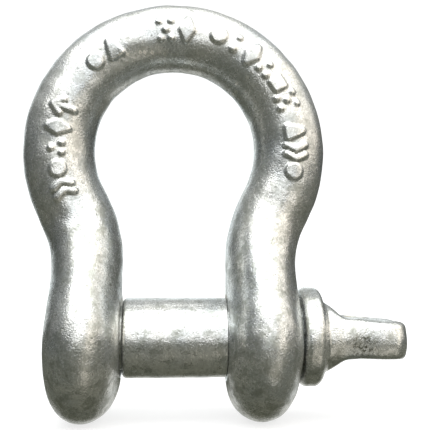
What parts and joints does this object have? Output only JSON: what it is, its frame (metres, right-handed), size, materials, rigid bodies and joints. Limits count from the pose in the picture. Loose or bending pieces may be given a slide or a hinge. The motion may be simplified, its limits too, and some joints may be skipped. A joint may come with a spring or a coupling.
{
  "type": "bow shackle",
  "caption": "Bow shackle of galvanised forged steel: a round-barred bow with two bored ears, closed by a screw pin with a collar and an eyed turning tab.",
  "frame": {"origin": "on the pin's axis, at the middle of the jaw between the two ears", "axes": "+X along the pin towards its collar and tab, +Z from the pin towards the crown, Y across the flat of the bow; pictured from -Y"},
  "size_m": [0.0954, 0.041, 0.1044],
  "materials": {
    "bow_zinc": "hot-dip galvanised forging, satin, mottled light and dark grey with a fine grain",
    "pin_zinc": "hot-dip galvanised forging, satin, a little brighter and rougher than the bow",
    "thread_zinc": "galvanised cut thread, dull grey"
  },
  "bodies": {
    "bow": {"bow": "bow_zinc"},
    "collar": {"pin_collar": "pin_zinc"},
    "pin": {"pin_shank": "pin_zinc", "pin_thread": "thread_zinc", "pin_tab": "pin_zinc"}
  },
  "joints": [
    {"name": "pin_slide", "type": "slide", "parent": "bow", "child": "collar", "axis": [1, 0, 0], "range_m": [0, 0.085]},
    {"name": "pin_turn", "type": "hinge", "parent": "collar", "child": "pin", "pos_m": [0, 0, 0], "axis": [1, 0, 0], "continuous": true}
  ]
}
